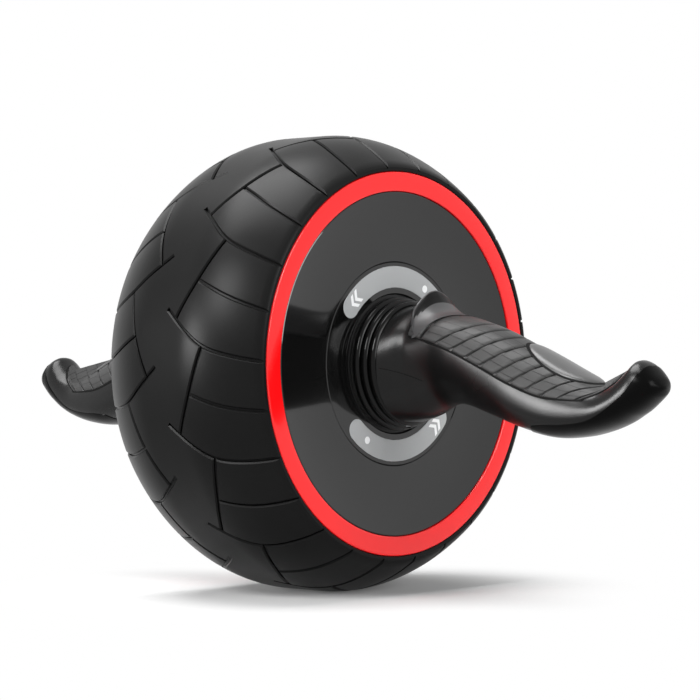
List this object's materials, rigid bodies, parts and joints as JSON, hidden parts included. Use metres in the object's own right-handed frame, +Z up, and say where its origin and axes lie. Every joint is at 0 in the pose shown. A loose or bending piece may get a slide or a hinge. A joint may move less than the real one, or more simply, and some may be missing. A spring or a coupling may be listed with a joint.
{
  "type": "ab wheel roller",
  "caption": "Wide crowned rubber wheel with a red side ring and a rebound spring, turning on a hub between two down-swept handles with ribbed grips and upturned ends.",
  "frame": {"origin": "centre of the wheel, on the axle midway between the handles", "axes": "+X the way the wheel rolls out, +Y along the axle towards the user's left hand, +Z up"},
  "size_m": [0.187, 0.345, 0.187],
  "materials": {
    "tyre_rubber": "satin black moulded rubber",
    "inner_plastic": "plain black moulding",
    "steel": "zinc plated",
    "spring_steel": "oiled carbon spring strip",
    "red_gloss": "gloss red",
    "black_gloss": "polished near-black",
    "grey_window": "light grey, white arrows",
    "bearing_plastic": "natural acetal",
    "handle_plastic": "satin black moulding",
    "grip_rubber": "grooved soft rubber"
  },
  "bodies": {
    "handle_frame": {"hub_core": "inner_plastic", "power_spring": "spring_steel", "handle_screws": "steel", "left_thrust_washer": "bearing_plastic", "right_thrust_washer": "bearing_plastic", "left_collar": "black_gloss", "right_collar": "black_gloss", "left_handle_body": "handle_plastic", "right_handle_body": "handle_plastic", "left_handle_underside": "handle_plastic", "right_handle_underside": "handle_plastic", "left_grip": "grip_rubber", "right_grip": "grip_rubber", "left_badge": "grip_rubber", "right_badge": "grip_rubber", "left_core_tube": "steel", "right_core_tube": "steel"},
    "wheel": {"tyre": "tyre_rubber", "left_rim": "inner_plastic", "right_rim": "inner_plastic", "rim_screws": "steel", "spring_drum": "inner_plastic", "drum_cover": "inner_plastic", "drum_screws": "steel", "left_trim_ring": "red_gloss", "right_trim_ring": "red_gloss", "left_side_disc": "black_gloss", "right_side_disc": "black_gloss", "left_marker_inlays": "grey_window", "right_marker_inlays": "grey_window", "left_bush": "bearing_plastic", "right_bush": "bearing_plastic"}
  },
  "joints": [
    {"name": "wheel_spin", "type": "hinge", "parent": "handle_frame", "child": "wheel", "pos_m": [0, 0, 0], "axis": [0, 1, 0], "range_deg": [0, 930], "stiffness_Nm_per_rad": 0.12, "springref_deg": -114.59}
  ]
}
